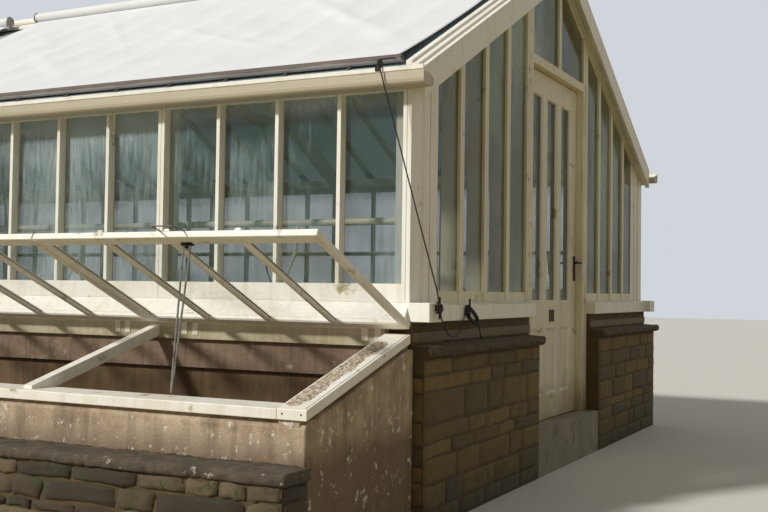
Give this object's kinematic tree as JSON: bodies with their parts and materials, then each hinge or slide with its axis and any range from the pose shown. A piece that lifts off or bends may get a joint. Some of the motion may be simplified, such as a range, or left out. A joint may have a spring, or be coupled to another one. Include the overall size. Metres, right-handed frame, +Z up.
{
  "type": "glass greenhouse with a cold frame",
  "caption": "Cream timber greenhouse on stone footwalls, with roller blinds on one slope and a cold frame with hinged glass lids along its side.",
  "frame": {"origin": "middle of the footprint's box on the lowest ground that the walls meet", "axes": "+X along the ridge towards the door gable, +Y across, away from the cold frame, +Z up"},
  "size_m": [8.029, 5.234, 3.1754],
  "materials": {
    "footwall_stone": "coursed rubble stone, weathered and lichened",
    "step_stone": "worn stone slab",
    "bed_masonry": "lime rendered masonry, stained",
    "ledge_stone": "rubble stone with flat flags",
    "cream_paint": "old cream oil paint on softwood",
    "bare_timber": "weathered brown board",
    "clear_glass": "horticultural glass, slightly hazy",
    "painted_iron": "cream painted cast iron",
    "black_iron": "rusty black iron",
    "grey_steel": "dull galvanised steel",
    "blind_cloth": "pale grey blind cloth",
    "bar_timber": "grey brown wooden lath",
    "black_cord": "black braided cord"
  },
  "bodies": {
    "house": {"front_footwall": "footwall_stone", "back_footwall": "footwall_stone", "door_gable_footwalls": "footwall_stone", "far_gable_footwall": "footwall_stone", "threshold": "step_stone", "side_sills": "cream_paint", "gable_sills": "cream_paint", "corner_posts": "cream_paint", "side_posts": "cream_paint", "side_sashes": "cream_paint", "side_glass": "clear_glass", "eaves_plates": "cream_paint", "gutters": "painted_iron", "gable_frames": "cream_paint", "door_frame": "cream_paint", "gable_glass": "clear_glass", "roof_bars": "cream_paint", "roof_glass": "clear_glass", "ridge_board": "cream_paint", "ridge_capping": "cream_paint", "roof_trusses": "cream_paint", "bargeboards": "cream_paint", "verge_packing": "cream_paint", "verge_cappings": "cream_paint", "finials": "cream_paint", "ventilator_gear": "painted_iron", "blind_rollers": "grey_steel", "blind_brackets": "grey_steel", "blind_cloths": "blind_cloth", "blind_bottom_bars": "bar_timber", "frame_hinges": "painted_iron", "cold_frame_walls": "bed_masonry", "cold_frame_ledge": "ledge_stone", "ledge_flags": "ledge_stone", "cold_frame_curb": "cream_paint", "cold_frame_rafters": "cream_paint", "hinge_rail": "cream_paint", "lid_hinges": "painted_iron", "back_board": "bare_timber", "shut_lids": "cream_paint", "shut_lid_glass": "clear_glass", "cord_pulley": "black_iron", "cord_cleats": "black_iron", "cord_windings": "black_cord", "blind_cord": "black_cord"},
    "door": {"door_leaf": "cream_paint", "door_glass": "clear_glass", "door_vent": "black_iron", "door_lock": "black_iron", "leaf_hinges": "painted_iron"},
    "door_lever_body": {"door_lever": "black_iron"},
    "lid_1_body": {"lid_1": "cream_paint", "lid_1_glass": "clear_glass"},
    "lid_2_body": {"lid_2": "cream_paint", "lid_2_glass": "clear_glass"},
    "stay_1_body": {"stay_1": "grey_steel"},
    "stay_2_body": {"stay_2": "grey_steel"}
  },
  "joints": [
    {"name": "door_hinge", "type": "hinge", "parent": "house", "child": "door", "pos_m": [3.788, 0, 0.46], "axis": [0, 0, 1], "range_deg": [0, 100]},
    {"name": "lever_turn", "type": "hinge", "parent": "door", "child": "door_lever_body", "pos_m": [3.846, 0.9185, 1.172], "axis": [1, 0, 0], "range_deg": [0, 45], "stiffness_Nm_per_rad": 0.8, "springref_deg": -28.65},
    {"name": "lid_1_hinge", "type": "hinge", "parent": "house", "child": "lid_1_body", "pos_m": [3.28583, -1.627, 0.86013], "axis": [1, 0, 0], "range_deg": [0, 40.5]},
    {"name": "stay_1_pivot", "type": "hinge", "parent": "lid_1_body", "child": "stay_1_body", "pos_m": [3.35983, -2.3575, 1.13809], "axis": [1, 0, 0], "range_deg": [0, 57.39]},
    {"name": "lid_2_hinge", "type": "hinge", "parent": "house", "child": "lid_2_body", "pos_m": [1.97, -1.627, 0.86013], "axis": [1, 0, 0], "range_deg": [0, 40.5]},
    {"name": "stay_2_pivot", "type": "hinge", "parent": "lid_2_body", "child": "stay_2_body", "pos_m": [2.044, -2.3575, 1.13809], "axis": [1, 0, 0], "range_deg": [0, 57.39]}
  ],
  "couplings": [
    {"joint": "stay_1_pivot", "follows": "lid_1_hinge", "ratio": 1.4158},
    {"joint": "stay_2_pivot", "follows": "lid_2_hinge", "ratio": 1.4158}
  ]
}
